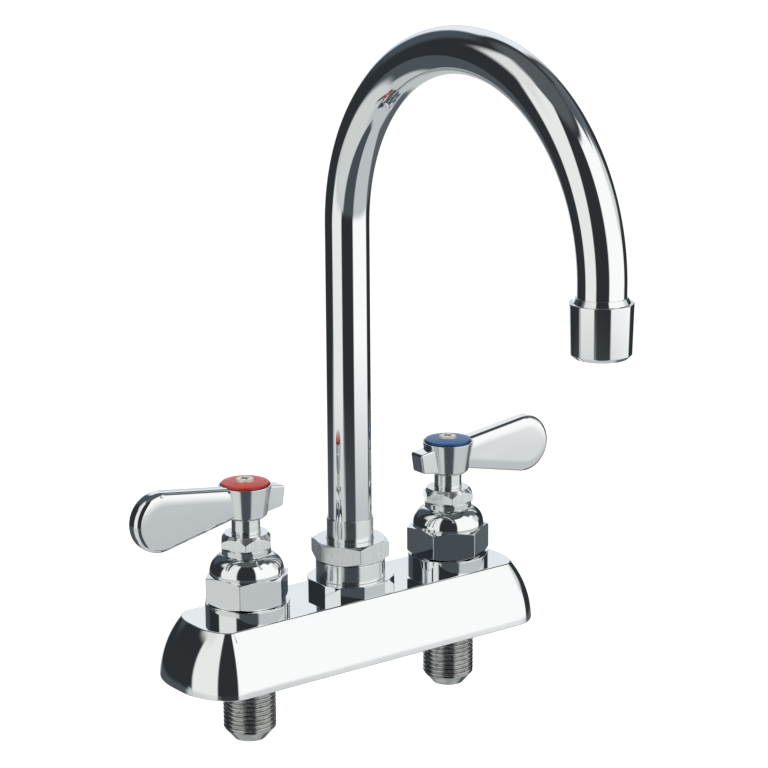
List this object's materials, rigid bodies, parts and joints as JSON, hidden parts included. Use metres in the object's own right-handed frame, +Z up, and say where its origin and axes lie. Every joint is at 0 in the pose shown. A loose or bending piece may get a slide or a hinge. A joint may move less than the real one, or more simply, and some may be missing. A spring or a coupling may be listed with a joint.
{
  "type": "bar sink faucet",
  "caption": "Chrome deck-mounted bar sink faucet: domed oblong body, lever handles with red and blue caps, and a swivelling gooseneck spout with an aerator.",
  "frame": {"origin": "middle of the body's underside at deck level, on the spout's swivel axis", "axes": "+Z up along the swivel axis, +X from the hot valve to the cold valve, -Y towards the user, the way the spout points at rest"},
  "size_m": [0.2064, 0.1887, 0.2879],
  "materials": {
    "polished_chrome": "polished and chrome plated",
    "machined_shank": "turned and threaded, dull nickel plate",
    "cartridge_brass": "turned",
    "ceramic": "lapped",
    "seal_rubber": "moulded",
    "packing_white": "plain",
    "hot_cap": "glossy",
    "cold_cap": "glossy",
    "screw_steel": "plain",
    "mixer_plastic": "moulded",
    "screen_steel": "etched"
  },
  "bodies": {
    "deck_body": {"body_casting": "polished_chrome", "spout_nipple": "polished_chrome", "swivel_nut": "polished_chrome", "swivel_washer": "packing_white", "hot_supply_shank": "machined_shank", "hot_seat_ring": "seal_rubber", "hot_cartridge_shell": "cartridge_brass", "hot_fixed_disc": "ceramic", "hot_bonnet": "polished_chrome", "hot_stem_packing": "packing_white", "hot_packing_nut": "polished_chrome", "cold_supply_shank": "machined_shank", "cold_seat_ring": "seal_rubber", "cold_cartridge_shell": "cartridge_brass", "cold_fixed_disc": "ceramic", "cold_bonnet": "polished_chrome", "cold_stem_packing": "packing_white", "cold_packing_nut": "polished_chrome"},
    "hot_control": {"hot_moving_disc": "ceramic", "hot_stem": "polished_chrome", "hot_stem_seal": "seal_rubber", "hot_lever": "polished_chrome", "hot_index_cap": "hot_cap", "hot_lever_screw": "screw_steel"},
    "cold_control": {"cold_moving_disc": "ceramic", "cold_stem": "polished_chrome", "cold_stem_seal": "seal_rubber", "cold_lever": "polished_chrome", "cold_index_cap": "cold_cap", "cold_lever_screw": "screw_steel"},
    "spout": {"spout_ferrule": "polished_chrome", "spout_seal": "seal_rubber", "spout_tube": "polished_chrome", "outlet_bush": "polished_chrome", "aerator_seal": "seal_rubber", "aerator_shell": "polished_chrome", "aerator_mixer": "mixer_plastic", "aerator_screen": "screen_steel"}
  },
  "joints": [
    {"name": "hot_turn", "type": "hinge", "parent": "deck_body", "child": "hot_control", "pos_m": [-0.0508, 0, 0.0648], "axis": [0, 0, 1], "range_deg": [0, 90]},
    {"name": "cold_turn", "type": "hinge", "parent": "deck_body", "child": "cold_control", "pos_m": [0.0508, 0, 0.0648], "axis": [0, 0, 1], "range_deg": [-90, 0]},
    {"name": "spout_swivel", "type": "hinge", "parent": "deck_body", "child": "spout", "pos_m": [0, 0, 0.0426], "axis": [0, 0, 1], "continuous": true}
  ]
}
